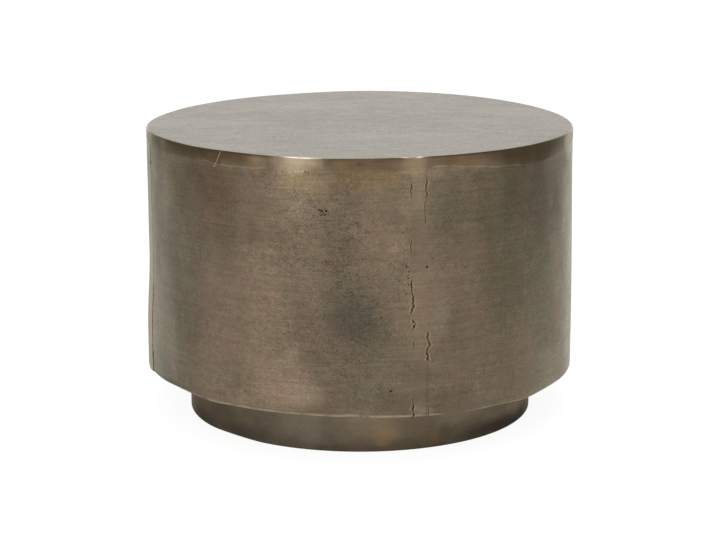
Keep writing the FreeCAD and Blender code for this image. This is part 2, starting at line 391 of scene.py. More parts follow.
# casting flaws: cracks run along the edges of the seams, pits are single holes
flawPlan = {
    # seam, side, upper end, lower end, half width, sidestep, all in mm
    "cracks": [
        (3, 0, 309, 289, 0.55, 1.2),
        (3, 0, 248, 231, 0.5, 0.0),
        (3, 0, 206, 182, 0.7, 0.4),
        (3, 0, 188, 164, 0.9, 0.4),
        (3, 0, 163, 148, 0.9, 0.8),
        (3, 0, 138, 128, 0.85, 2.4),
        (3, 0, 77, 60, 0.4, -0.6),
        (3, 0, 68, 50, 0.8, -0.2),
        (3, 1, 315, 289, 0.7, 0.2),
        (3, 1, 290, 262, 0.35, -1.4),
        (3, 1, 149, 127, 0.85, 0.6),
        (3, 1, 132, 112, 1.0, -0.8),
        (3, 1, 66, 50, 0.45, -0.6),
        (2, 1, 326, 296, 1.3, 0.4),
        (2, 1, 306, 238, 0.7, 0.4),
        (2, 1, 240, 160, 0.7, 0.4),
        (2, 1, 162, 50, 1.4, 0.8),
        (2, 1, 80, 50, 1.3, 0.8),
    ],
    "taper": 5,  # in mm, at both ends of a crack
    # edges before this one, counted as twice the seam plus the side, crack at random
    "firstListed": 5,
    "randomHalf": 0.7 * mm,
    "randomGrain": 26.0,  # grain of the noise along an edge, here and below, to the metre
    "wander": 9.0,  # sideways, in half widths
    "wanderGrain": 95.0,
    "loose": 0.7 * mm,  # wider cracks wander no more than this one
    "wide": (1.1 * mm, 1.35 * mm),  # between these half widths a crack turns into an open joint
    "tornGrain": 330.0,
    "torn": (0.45, 1.35),  # narrowest and widest, in half widths
    "deepest": 2.4 * mm,
    "fray": 0.35 * mm,
    "frayGrain": 800.0,
    # azimuth, height and half width in mm
    "pits": [
        (-99.6, 280.0, 1.2),
        (-99.2, 278.6, 1.2),
        (-98.0, 279.2, 1.25),
        (-98.4, 274.6, 1.1),
        (-99.2, 274.4, 1.0),
        (-103.1, 321.5, 1.1),
        (-102.3, 319.8, 0.9),
        (-112.6, 296.0, 0.9),
        (-114.2, 319.0, 0.8),
        (-113.6, 316.5, 0.7),
        (-122.6, 320.5, 0.8),
        (-82.8, 83.4, 1.35),
        (-83.3, 73.0, 0.8),
        (-78.4, 219.0, 0.8),
        (-79.6, 210.0, 0.9),
        (-78.0, 206.0, 0.9),
        (-80.3, 203.0, 0.8),
        (-79.0, 199.0, 0.9),
        (-78.6, 189.0, 0.8),
        (-77.9, 213.0, 0.7),
        (-78.1, 209.0, 0.7),
        (-79.8, 204.0, 0.7),
        (-79.7, 200.0, 0.7),
        (-77.9, 199.0, 0.7),
        (-73.2, 217.0, 1.2),
        (-71.7, 225.5, 0.9),
        (-64.0, 128.0, 0.8),
        (-52.0, 216.0, 0.9),
        (-85.0, 164.0, 0.9),
    ],
    "pitDepth": 1.5,  # in half widths
}


# number of the seam's edge that a point lies by, and how far round the drum it is from that edge
def nearestEdge(tree, place):
    past = less(tree, turnOf(tree, place), math.radians(drum["seamAzimuth"]))
    seam = sums(tree, "ROUND", over(tree, past, seamStep))
    seam = sums(tree, "FLOORED_MODULO", seam, drum["seams"])
    across = times(tree, sums(tree, "WRAP", past, seamStep / 2, -seamStep / 2), skinRadius)
    far = sums(tree, "GREATER_THAN", across, 0.0)
    width = seamAngle * skinRadius
    beside = less(tree, across, sums(tree, "MULTIPLY_ADD", far, width, -width / 2))
    return sums(tree, "MULTIPLY_ADD", seam, 2.0, far), beside


# half width of the crack at a height, and how far it has stepped aside
def openCracks(tree, edge, height):
    gape, sidestep = 0.0, 0.0
    for number, side, upper, lower, half, step in flawPlan["cracks"]:
        start = ease(tree, height, lower * mm, (lower + flawPlan["taper"]) * mm)
        end = ease(tree, height, upper * mm, (upper - flawPlan["taper"]) * mm)
        onEdge = sums(tree, "COMPARE", edge, 2 * number + side, 0.1)
        here = times(tree, smaller(tree, start, end), onEdge)
        gape = sums(tree, "MULTIPLY_ADD", here, half * mm, gape)
        sidestep = sums(tree, "MULTIPLY_ADD", here, step * mm, sidestep)
    chance = noise(tree, joined(tree, times(tree, edge, 3.7), 0.0, height), flawPlan["randomGrain"], 1)
    chance = ease(tree, chance, 0.53, 0.66, 0.0, flawPlan["randomHalf"])
    unseen = sums(tree, "LESS_THAN", edge, flawPlan["firstListed"] - 0.5)
    return sums(tree, "MULTIPLY_ADD", chance, unseen, gape), sidestep


def castingFlaws(tree, vector):
    place = split(tree, vector)
    edge, beside = nearestEdge(tree, place)
    gape, sidestep = openCracks(tree, edge, place["Z"])
    along = joined(tree, times(tree, edge, 0.31), 0.0, place["Z"])
    loose = times(tree, smaller(tree, gape, flawPlan["loose"]), 2 * flawPlan["wander"])
    wander = times(tree, ripple(tree, along, flawPlan["wanderGrain"], 3, 0.7), loose)
    wide = ease(tree, gape, *flawPlan["wide"])
    torn = ease(tree, noise(tree, along, flawPlan["tornGrain"]), 0.36, 0.6, *flawPlan["torn"])
    gape = times(tree, gape, blend(tree, times(tree, wide, 0.7), torn, 1.0))
    away = sums(tree, "ABSOLUTE", less(tree, beside, sidestep, wander))
    fray = times(tree, ripple(tree, vector, flawPlan["frayGrain"], 1), flawPlan["fray"])
    share = over(tree, plus(tree, away, fray), plus(tree, gape, 0.01 * mm))
    parted = ease(tree, gape, 0.08 * mm, 0.3 * mm)
    mask = times(tree, ease(tree, share, 1.6, 0.5), parted)  # dirt reaches past the groove's own walls
    depth = smaller(tree, times(tree, gape, 1.1), flawPlan["deepest"])
    depth = times(tree, depth, ease(tree, share, 1.0, 0.3), parted)
    lip = times(tree, ease(tree, share, 3.4, 1.6), ease(tree, gape, 0.25 * mm, 0.5 * mm))
    lip = times(tree, lip, less(tree, 1.0, wide))
    for azimuth, height, half in flawPlan["pits"]:
        away = vectorSums(tree, "DISTANCE", vector, onRound(skinRadius, azimuth, height))
        pit = ease(tree, plus(tree, away, fray), half * mm, 0.3 * half * mm)
        mask = larger(tree, mask, pit)
        depth = larger(tree, depth, times(tree, pit, flawPlan["pitDepth"] * half * mm))
    return {"Mask": mask, "Depth": depth, "Lip": lip, "Wide": wide}


def makeFlawGroup(kind):
    outputs = dict.fromkeys(("Mask", "Depth", "Lip", "Wide"), 0.0)
    tree, given, result = newGroup(kind, "castingFlaws", {"Vector": origin}, outputs)
    deliver(tree, result, **castingFlaws(tree, given["Vector"]))
    return tree


paintedFlaws = makeFlawGroup("Shader")
carvedFlaws = makeFlawGroup("Geometry")

drumFinish = {
    "tones": ((103, 90, 74), (111, 97, 80), (119, 103, 86)),  # darkest, middle, lightest
    # patina together with painted light and shade, such as pale edge reflections and shade on the lip:
    # azimuth from +X, height, spread round the drum and up it in mm, colour, strength
    "patinaAndPaintedLight": [
        (-143, 180, 42, 220, (97, 91, 75), 0.8),
        (-153, 180, 34, 220, (105, 102, 94), 0.5),
        (-136, 308, 36, 30, (72, 60, 43), 0.6),
        (-125, 255, 30, 36, (92, 79, 63), 0.5),
        (-136, 235, 34, 80, (90, 80, 65), 0.6),
        (-143, 285, 40, 54, (83, 70, 53), 0.75),
        (-158, 322, 50, 40, (76, 65, 51), 0.8),
        (-130, 296, 60, 70, (86, 71, 54), 0.85),
        (-127, 240, 34, 60, (96, 83, 66), 0.6),
        (-127, 150, 50, 100, (121, 104, 87), 0.75),
        (-115, 170, 52, 170, (131, 113, 94), 0.9),
        (-104, 235, 38, 90, (124, 108, 90), 0.85),
        (-116, 300, 36, 40, (122, 106, 90), 0.6),
        (-110, 82, 60, 46, (140, 121, 101), 0.9),
        (-108, 298, 40, 44, (134, 117, 97), 0.9),
        (-95, 235, 24, 90, (102, 91, 73), 0.7),
        (-89, 152, 50, 58, (92, 82, 67), 0.8),
        (-91.5, 166, 36, 46, (83, 76, 65), 0.85),
        (-91, 108, 52, 50, (101, 91, 74), 0.7),
        (-85, 265, 36, 70, (124, 107, 88), 0.75),
        (-76, 165, 30, 70, (130, 112, 92), 0.8),
        (-75, 285, 26, 50, (126, 109, 89), 0.7),
        (-66, 278, 42, 60, (92, 83, 65), 0.8),
        (-72, 66, 110, 24, (97, 86, 69), 0.7),
        (-62, 190, 60, 110, (105, 92, 74), 0.6),
        (-51, 285, 60, 110, (82, 73, 56), 0.95),
        (-49, 190, 50, 120, (90, 82, 64), 0.8),
        (-45, 250, 34, 110, (82, 74, 58), 0.5),
        (-36, 190, 44, 170, (84, 79, 63), 0.7),
        (-36, 290, 50, 100, (71, 60, 45), 0.95),
        (-26, 290, 44, 60, (67, 58, 45), 0.8),
        (-12, 296, 40, 44, (78, 69, 57), 0.7),
        # painted reflection: a pale band for the bright right-hand edge
        (-9, 156, 88, 230, (156, 151, 138), 0.8),
        (-16, 290, 46, 54, (77, 68, 56), 0.45),
        (-26, 258, 34, 54, (62, 58, 44), 0.45),
        (-45, 292, 30, 40, (72, 64, 46), 0.45),
        (-105, 75, 36, 22, (150, 131, 113), 0.6),
        (-85, 73, 26, 18, (88, 78, 63), 0.5),
        (-76, 104, 20, 22, (98, 88, 72), 0.5),
        (-166, 305, 34, 54, (70, 66, 56), 0.5),
        (-155, 285, 22, 30, (74, 68, 54), 0.5),
        (-31, 72, 60, 44, (126, 117, 100), 0.7),
        # painted shade along the hem on the left
        (-152, 54, 70, 9, (66, 60, 51), 0.8),
        (-168, 250, 50, 120, (100, 100, 96), 0.7),
        (-128, 334, 80, 17, (84, 67, 45), 0.95),
        (-148, 332, 90, 18, (68, 57, 41), 0.9),
        (-138, 334, 60, 15, (60, 47, 29), 0.85),
        (-58, 308, 40, 22, (102, 88, 68), 0.6),
        (-62, 334, 76, 14, (120, 97, 70), 0.85),
        # painted shade: dark lip patches that dim its reflection
        (-44, 333, 90, 17, (66, 51, 33), 0.95),
        (-30, 334, 70, 14, (46, 36, 24), 0.9),
        (-156, 333, 28, 12, (30, 24, 12), 0.9),
        (-147, 334.5, 34, 6, (36, 28, 14), 0.8),
        (-165, 322, 20, 16, (70, 66, 52), 0.6),
        (-157, 72, 26, 30, (88, 84, 72), 0.5),
        (-121, 64, 26, 16, (138, 120, 101), 0.75),
        (-124, 323, 16, 8, (118, 100, 80), 0.6),
        (-116, 325, 20, 12, (124, 106, 80), 0.5),
        (-84, 323, 20, 9, (92, 77, 58), 0.5),
        (-79, 165, 14, 30, (112, 97, 81), 0.5),
        (-75.2, 300, 10, 60, (136, 119, 98), 0.6),
        (-75, 64, 16, 14, (124, 108, 91), 0.7),
        (-69.5, 300, 14, 50, (102, 94, 76), 0.6),
        (-70, 165, 20, 40, (132, 116, 99), 0.65),
        (-67, 330, 16, 9, (92, 72, 50), 0.5),
        (-57, 324, 36, 9, (124, 107, 86), 0.6),
        (-36, 333, 50, 12, (56, 40, 18), 0.6),
        (-32, 333, 22, 9, (44, 32, 10), 0.6),
        # painted reflection: pale lip near the right-hand edge
        (-17, 328, 30, 26, (146, 141, 122), 0.5),
        (-22, 334, 30, 6, (70, 62, 44), 0.5),
        (-108, 112, 18, 34, (140, 122, 104), 0.6),
        (-97, 98, 28, 20, (112, 99, 83), 0.5),
        (-111, 198, 18, 34, (136, 118, 100), 0.5),
        (-78.5, 285, 14, 34, (132, 115, 96), 0.6),
        (-74, 56, 20, 10, (130, 114, 96), 0.6),
        (-118, 251, 20, 26, (96, 82, 68), 0.5),
        (-80.3, 237, 18, 22, (140, 123, 103), 0.5),
        (-70.3, 318, 16, 10, (140, 122, 103), 0.5),
        (-105, 279, 20, 20, (148, 130, 112), 0.45),
        (-43, 187, 22, 44, (84, 76, 60), 0.4),
        (-151, 70, 22, 18, (80, 72, 62), 0.6),
        (-18, 330, 20, 14, (150, 138, 116), 0.6),
        (-152, 331, 14, 8, (110, 92, 72), 0.45),
        (-53, 331, 16, 8, (66, 51, 34), 0.45),
        (-115.5, 331, 16, 9, (154, 136, 106), 0.45),
        (-54, 296, 20, 60, (108, 97, 78), 0.4),
        (-92, 274, 16, 18, (124, 108, 90), 0.4),
        (-92, 240, 16, 18, (88, 78, 63), 0.4),
        (-75.5, 262, 12, 26, (108, 93, 76), 0.4),
        (-147, 104, 18, 60, (122, 114, 98), 0.5),
    ],
    "patchTear": 0.6,
    # worn gold at the front of the rim, with a painted glint along its edge
    "goldAndGlint": [
        (-88, 313, 62, 20, (121, 102, 73), 0.8),
        (-88, 331, 54, 13, (108, 87, 62), 0.6),
        (-104, 312, 46, 24, (146, 128, 99), 0.8),
        (-105, 333, 36, 20, (188, 170, 141), 0.95),
        (-76, 327, 20, 20, (154, 134, 106), 0.85),
        (-94.3, 327, 11, 8, (126, 106, 70), 0.6),
        (-89.6, 329.5, 7, 4, (82, 64, 44), 0.6),
        (-85, 332, 14, 4, (90, 71, 50), 0.5),
        (-80.5, 326, 10, 5, (126, 108, 82), 0.5),
        (-97.5, 331, 8, 5, (92, 72, 54), 0.5),
    ],
    "goldAndGlintTear": 0.9,
    "drift": ((0.95, 1.0, 0.96, 1), (1.04, 0.99, 1.03, 1)),  # greener here and redder there
    "rim": tone(66, 52, 38),  # painted shade: a darker brown band right under the rim
    "rimDepth": 4 * mm,
    "grainy": (-97, 200, 120, 190),  # where the sand shows most
    "grainyTear": 0.3,
    "sand": (0.62, 0.92),  # how much of it shows elsewhere and there
    # from azimuth and height to azimuth and height, half width in mm, shade, strength
    "marks": [
        (-126.5, 334, -128.9, 319, 0.6, (166, 150, 126), 0.75),
        (-125.8, 327, -126.3, 321, 0.7, (150, 134, 112), 0.35),
        # painted shadow in a notch of the hem
        (-93.0, 54.6, -88.6, 54.6, 0.8, (52, 43, 34), 0.9),
        (-105.5, 95, -83.0, 91, 1.1, (84, 74, 62), 0.4),
        (-101.0, 88, -90.0, 87, 0.8, (84, 74, 62), 0.3),
        (-64.5, 134, -63.0, 122, 0.9, (84, 74, 62), 0.4),
        (-73.4, 110, -73.8, 52, 2.0, (80, 73, 60), 0.4),
        (-70.0, 300, -66.0, 291, 0.8, (128, 112, 92), 0.3),
    ],
    "smear": (0.8, 0.8, 1.2),  # the sand smears a little round the drum
    "upright": {"Fine": (420.0, 420.0, 16.0), "Broad": (70.0, 70.0, 4.0)},  # lines up the wall
    # lighter bronze for wear and painted highlight on the hem's bevel and the crack lips
    "wearAndHighlight": tone(160, 143, 118),
    "cavity": tone(52, 43, 34),
    "crack": tone(98, 81, 61),
    "crackBump": 0.4 * mm,
    "crackStrength": 0.85,
    "lipStrength": 0.7,  # lips of the cracks, worn and with painted highlight
    "unlitHem": [(-156, 90, 1.0), (-66, 40, 0.7), (-50, 90, 0.6)],  # where the hem's painted highlight is left out: azimuth, reach in mm, strength
    "unlitHemUp": 50,  # in mm
    "metallic": 0.8,
    "roughSwing": 0.06,
    "slant": (1.0, 1.0, 0.89, 1),  # warm where the wall turns away
}


def makeDrumTone():
    outputs = {"Color": black, "Wear": 0.0, "Grainy": 0.0}
    tree, given, result = newGroup("Shader", "drumTone", {"Vector": origin}, outputs)
    place = given["Vector"]
    base = placePatina(tree, place, drumFinish["tones"])
    torn = tear(tree, place)
    patchTear = times(tree, torn, drumFinish["patchTear"])
    colour = paintSpots(tree, place, base["Color"], skinRadius, drumFinish["patinaAndPaintedLight"], patchTear)
    drift = ease(tree, noise(tree, place, 34.0, 3, 0.6), 0.3, 0.7)
    colour = blendColour(tree, 1.0, colour, blendColour(tree, drift, *drumFinish["drift"]), "MULTIPLY")
    level = split(tree, place)["Z"]
    # painted shade: a darker brown band right under the rim
    paintedRimShade = ease(tree, level, drum["top"] - drumFinish["rimDepth"], drum["top"] - 1 * mm)
    paintedRimShade = times(tree, paintedRimShade, ease(tree, noise(tree, place, 14.0, 3), 0.3, 0.6, 0.3, 0.9))
    colour = blendColour(tree, paintedRimShade, colour, drumFinish["rim"])
    # worn gold with a painted glint at the front of the rim
    goldAndGlintTear = times(tree, torn, drumFinish["goldAndGlintTear"])
    colour = paintSpots(tree, place, colour, skinRadius, drumFinish["goldAndGlint"], goldAndGlintTear)
    for azimuth, height, endAzimuth, endHeight, half, shade, strength in drumFinish["marks"]:
        start, end = onRound(skinRadius, azimuth, height), onRound(skinRadius, endAzimuth, endHeight)
        colour = paintLine(tree, place, colour, start, end, half, shade, strength)
    grainyTear = times(tree, torn, drumFinish["grainyTear"])
    grainy = spotMask(tree, place, skinRadius, *drumFinish["grainy"], grainyTear)
    deliver(tree, result, Color=colour, Wear=base["Wear"], Grainy=grainy)
    return tree


drumTone = makeDrumTone()


def newMaterial(name):
    material = bpy.data.materials.new(name)
    material.use_nodes = True
    return material, material.node_tree, material.node_tree.nodes["Principled BSDF"]


def objectPlace(tree):
    return tree.nodes.new("ShaderNodeTexCoord").outputs["Object"]


def attribute(tree, name, output="Fac"):
    return addNode(tree, "ShaderNodeAttribute", attribute_name=name).outputs[output]


def dress(tree, shader, colour, roughness, height, depth, metallic=0.0, slant=white):
    bump = addNode(tree, "ShaderNodeBump", {"Height": height, "Distance": depth, "Strength": 1.0})
    feed(tree, shader.inputs["Base Color"], colour)
    feed(tree, shader.inputs["Roughness"], roughness)
    feed(tree, shader.inputs["Normal"], bump.outputs["Normal"])
    shader.inputs["Metallic"].default_value = metallic
    shader.inputs["Specular Tint"].default_value = slant


def roughened(tree, wear, roughness, share):
    return ease(tree, wear, 0.2, 0.8, roughness + share, roughness - share)


def drumColour(tree, place, level, contrast, lines, specks):
    base = placeGroup(tree, drumTone, Vector=place)
    rough = ease(tree, base["Grainy"], 0.0, 1.0, *drumFinish["sand"])
    smeared = vectorSums(tree, "MULTIPLY", place, drumFinish["smear"])
    grain = placeGroup(tree, sandGrain, Vector=smeared, Contrast=times(tree, rough, contrast))
    flat = placeGroup(tree, brushLines, Vector=place)
    upright = placeGroup(tree, brushLines, Vector=place, **drumFinish["upright"])
    line = streaked(tree, flat["Line"], 1.5 * lines, level)
    sweep = ease(tree, flat["Sweep"], 0.3, 0.7, 0.97, 1.03)
    shade = times(tree, grain["Shade"], line, sweep, streaked(tree, upright["Line"], 0.4 * lines))
    dark = larger(tree, grain["Speck"], times(tree, grain["Pepper"], rough))
    dark = times(tree, dark, times(tree, rough, specks))
    colour = blendColour(tree, dark, shaded(tree, base["Color"], shade), drumFinish["cavity"])
    return colour, base["Wear"], grain["Height"]


def makeWallBronze(name, level, contrast, lines, specks, roughness, grainDepth):
    material, tree, shader = newMaterial(name)
    place = attribute(tree, "castPlace", "Vector")
    colour, wear, height = drumColour(tree, place, level, contrast, lines, specks)
    flaws = placeGroup(tree, paintedFlaws, Vector=place)
    # wear and painted highlight along the hem's bevel
    wornAndGlint = attribute(tree, "wornAndGlint")
    for azimuth, reach, strength in drumFinish["unlitHem"]:
        mask = spotMask(tree, place, skinRadius, azimuth, drum["hem"] / mm, reach, drumFinish["unlitHemUp"])
        wornAndGlint = sums(tree, "MULTIPLY_ADD", mask, -strength, wornAndGlint)
    wornAndGlint = times(tree, ease(tree, wornAndGlint, 0.0, 1.0), ease(tree, noise(tree, place, 60.0, 3), 0.3, 0.55))
    colour = blendColour(tree, wornAndGlint, colour, drumFinish["wearAndHighlight"])
    # crack lips lighter: wear and painted highlight
    colour = paint(tree, colour, flaws["Lip"], drumFinish["lipStrength"], drumFinish["wearAndHighlight"])
    crack = blendColour(tree, flaws["Wide"], drumFinish["crack"], drumFinish["cavity"])
    colour = paint(tree, colour, flaws["Mask"], drumFinish["crackStrength"], crack)
    relief = less(tree, times(tree, height, grainDepth), times(tree, flaws["Mask"], drumFinish["crackBump"]))
    rough = roughened(tree, wear, roughness, drumFinish["roughSwing"])
    dress(tree, shader, colour, rough, relief, 1.0, drumFinish["metallic"], drumFinish["slant"])
    return material


wallBronze = makeWallBronze(
    "wallBronze", level=1.1, contrast=2.7, lines=0.07, specks=0.55, roughness=0.46, grainDepth=0.5 * mm
)
seamBronze = makeWallBronze(
    "seamBronze", level=1.08, contrast=1.5, lines=0.06, specks=0.3, roughness=0.42, grainDepth=0.2 * mm
)
rimBronze = makeWallBronze(
    "rimBronze", level=1.38, contrast=1.6, lines=0.04, specks=0.1, roughness=0.4, grainDepth=0.1 * mm
)

capFinish = {
    # lighter than the wall: a brushed finish, partly painted light from above
    "tones": ((149, 143, 133), (156, 149, 138), (162, 154, 142)),
    "patina": {"Columns": (4.0, 14.0, 4.0), "Patches": 11.0},
    "smear": (0.45, 1.1, 1.0),  # the grain is drawn out from side to side
    "grain": {"Grain": 480.0, "Mottle": 90.0, "Contrast": 2.0},
    "lines": {"Fine": (14.0, 330.0, 14.0), "Broad": (5.0, 60.0, 5.0)},  # brushed from side to side
    "lineDepth": 0.03 * mm,
    "streaks": 0.13,
    "pepper": 0.12,
    "rough": (0.38, 0.5),
    "lip": {"level": 1.0, "contrast": 0.6, "lines": 0.05, "specks": 0.3},
    "metallic": 0.8,
    "lipSlant": (0.9, 0.85, 0.72, 1),  # browner where the lip turns away
    # polish and painted glint on the rim: azimuth, half length in mm, strength
    "polishedGlints": [(-104.5, 28, 0.95), (-74.8, 6, 0.45), (-79, 9, 0.45)],
    "polishedGlintsUp": 20,  # in mm
    # near white for polish and painted glint
    "wearAndHighlight": tone(246, 240, 228),
    # start and end in mm, half width in mm, strength
    "smudges": [
        ((-104, 1), (-88, 1), 3.4, 0.5),
        ((-150, 5), (-62, 0), 5.0, 0.12),
        ((-175, 40), (-130, 30), 6.0, 0.1),
    ],
    "smudge": (112, 106, 96),
}


def onTop(x, y):
    return (x * mm, y * mm, drum["top"])


def makeCapBronze(name, slant):
    material, tree, shader = newMaterial(name)
    place = attribute(tree, "castPlace", "Vector")
    smeared = vectorSums(tree, "MULTIPLY", place, capFinish["smear"])
    grain = placeGroup(tree, sandGrain, Vector=smeared, **capFinish["grain"])
    lines = placeGroup(tree, brushLines, Vector=place, **capFinish["lines"])
    base = placePatina(tree, place, capFinish["tones"], **capFinish["patina"])
    sweep = ease(tree, lines["Sweep"], 0.3, 0.7, 0.98, 1.02)
    shade = times(tree, streaked(tree, lines["Line"], capFinish["streaks"]), sweep, grain["Shade"])
    top = shaded(tree, base["Color"], shade)
    top = paint(tree, top, grain["Pepper"], capFinish["pepper"], drumFinish["cavity"])
    for start, end, half, strength in capFinish["smudges"]:
        top = paintLine(tree, place, top, onTop(*start), onTop(*end), half, capFinish["smudge"], strength)
    lip = drumColour(tree, place, **capFinish["lip"])[0]
    colour = blendColour(tree, attribute(tree, "topShare"), lip, top)
    # polish and painted glint where the rim is worn
    rubbedGlint = 0.0
    for azimuth, half, strength in capFinish["polishedGlints"]:
        mask = spotMask(tree, place, skinRadius, azimuth, drum["top"] / mm, half, capFinish["polishedGlintsUp"])
        rubbedGlint = larger(tree, rubbedGlint, times(tree, mask, strength))
    uneven = ease(tree, noise(tree, place, 90.0), 0.3, 0.5, 0.35, 1.0)
    rubbedGlint = times(tree, rubbedGlint, ease(tree, attribute(tree, "wornAndGlint"), 0.1, 0.6), uneven)
    colour = blendColour(tree, rubbedGlint, colour, capFinish["wearAndHighlight"])
    rough = ease(tree, lines["Line"], 0.2, 0.8, *capFinish["rough"])
    dress(tree, shader, colour, rough, lines["Line"], capFinish["lineDepth"], capFinish["metallic"], slant)
    return material


capBronze = makeCapBronze("capBronze", white)
lipBronze = makeCapBronze("lipBronze", capFinish["lipSlant"])

# darkest, middle and lightest tone, metallic, roughness, depth of the grain
plainMetals = {
    "rawPlate": (((128, 124, 117), (146, 142, 135), (160, 156, 149)), 0.7, 0.55, 0.3 * mm),
    "weldBead": (((92, 87, 82), (114, 109, 103), (138, 133, 126)), 0.8, 0.38, 0.1 * mm),
    "zincSteel": (((150, 150, 148), (172, 172, 170), (188, 188, 186)), 0.95, 0.32, 0.02 * mm),
}


def makePlainMetal(name):
    tones, metallic, roughness, grainDepth = plainMetals[name]
    material, tree, shader = newMaterial(name)
    place = objectPlace(tree)
    base = placePatina(tree, place, tones, Patches=24.0)
    grain = placeGroup(tree, sandGrain, Vector=place, Grain=260.0, Contrast=0.3)
    colour = shaded(tree, base["Color"], grain["Shade"])
    rough = roughened(tree, base["Wear"], roughness, 0.07)
    dress(tree, shader, colour, rough, grain["Height"], grainDepth, metallic)
    return material


rawPlate, weldBead, zincSteel = (makePlainMetal(name) for name in plainMetals)

plinth = {
    "reach": round(plinthHigh.x, 3),
    "plate": 5 * mm,
    "swell": 0.9 * mm,  # rolled a little proud of the true circle
    "low": 0.15 * mm,  # its edge stands almost on the floor
    "high": plinthHigh.z,
    "seamAzimuth": 104.8,
    "seamGap": 0.6 * mm,
    "edgeRound": 1.0 * mm,
    "edgeRows": 5,
    "columns": 541,
    "rows": 30,
    "lift": (-135, 14, 1.1 * mm),  # azimuth, spread and height where the lower edge bends up
    "skin": {"Swell": 0.5 * mm, "Hammer": 0.1 * mm, "Sand": 0.02 * mm, "Flaws": 0.0, "Warp": 0.0},
}

plinthFinish = {
    "tones": ((76, 67, 55), (90, 79, 65), (104, 91, 74)),
    # patina together with painted light under the drum's hem and painted shade low down and at the ends:
    # azimuth, height, spread round the ring and up it in mm, colour, strength
    "patinaAndPaintedLight": [
        (-84, 42, 90, 48, (122, 107, 87), 0.9),
        (-81, 24, 22, 18, (136, 114, 84), 0.6),
        (-140, 10, 20, 16, (100, 80, 60), 0.5),
        (-128, 44, 46, 24, (98, 91, 76), 0.7),
        (-60, 46, 70, 28, (114, 101, 83), 0.85),
        (-72, 28, 44, 34, (104, 92, 75), 0.7),
        (-66, 11, 16, 13, (106, 82, 62), 0.5),
        (-107, 34, 66, 44, (120, 110, 94), 0.85),
        (-42, 8, 70, 18, (46, 40, 34), 0.85),
        (-80, 6, 50, 14, (84, 73, 58), 0.6),
        (-24, 6, 50, 18, (52, 47, 40), 0.8),
        (-55, 36, 60, 22, (118, 106, 88), 0.85),
        (-38, 32, 56, 22, (96, 87, 74), 0.85),
        (-24, 28, 50, 24, (122, 110, 97), 0.85),
        (-152, 10, 60, 26, (70, 63, 55), 0.7),
        (-155, 30, 80, 26, (100, 90, 79), 0.8),
        (-130, 8, 50, 14, (62, 57, 52), 0.6),
        (-83, 12, 14, 9, (128, 106, 76), 0.6),
    ],
    "patchTear": 0.6,
    # darker towards the foot, and lighter under the drum's hem as painted light against its shadow: from one
    # height to another, and the shade at each
    "footShade": (0.0, 16 * mm, 0.82, 1.0),
    "headPaintedLight": (28 * mm, 58 * mm, 1.0, 1.35),
    "streaks": 0.05,
    "grain": 0.55,  # contrast
    "grainDepth": 0.15 * mm,
    "rough": (0.41, 0.05),  # middle and swing
    "metal": {"metallic": 0.8, "slant": (0.35, 0.33, 0.3, 1)},  # duller where the ring turns away
}


def makePlinthBronze():
    material, tree, shader = newMaterial("plinthBronze")
    place = objectPlace(tree)
    base = placePatina(tree, place, plinthFinish["tones"], Patches=24.0)
    grain = placeGroup(tree, sandGrain, Vector=place, Contrast=plinthFinish["grain"])
    lines = placeGroup(tree, brushLines, Vector=place)
    torn = times(tree, tear(tree, place), plinthFinish["patchTear"])
    colour = paintSpots(tree, place, base["Color"], plinth["reach"], plinthFinish["patinaAndPaintedLight"], torn)
    # darker towards the foot, painted light under the drum's hem
    level = split(tree, place)["Z"]
    foot = ease(tree, level, *plinthFinish["footShade"])
    head = ease(tree, level, *plinthFinish["headPaintedLight"])
    streak = streaked(tree, lines["Line"], plinthFinish["streaks"])
    colour = shaded(tree, colour, times(tree, foot, head, streak, grain["Shade"]))
    rough = roughened(tree, base["Wear"], *plinthFinish["rough"])
    dress(tree, shader, colour, rough, grain["Height"], plinthFinish["grainDepth"], **plinthFinish["metal"])
    return material


plinthBronze = makePlinthBronze()


def makeNylon():
    material, tree, shader = newMaterial("blackNylon")
    place = objectPlace(tree)
    cloud = noise(tree, place, 90.0, 4, 0.6)
    colour = blendColour(tree, ease(tree, cloud, 0.3, 0.7), tone(30, 30, 30), tone(44, 43, 42))
    rough = ease(tree, cloud, 0.3, 0.7, 0.45, 0.6)
    dress(tree, shader, colour, rough, noise(tree, place, 900.0), 0.05 * mm)
    return material


blackNylon = makeNylon()
print("materials ready")

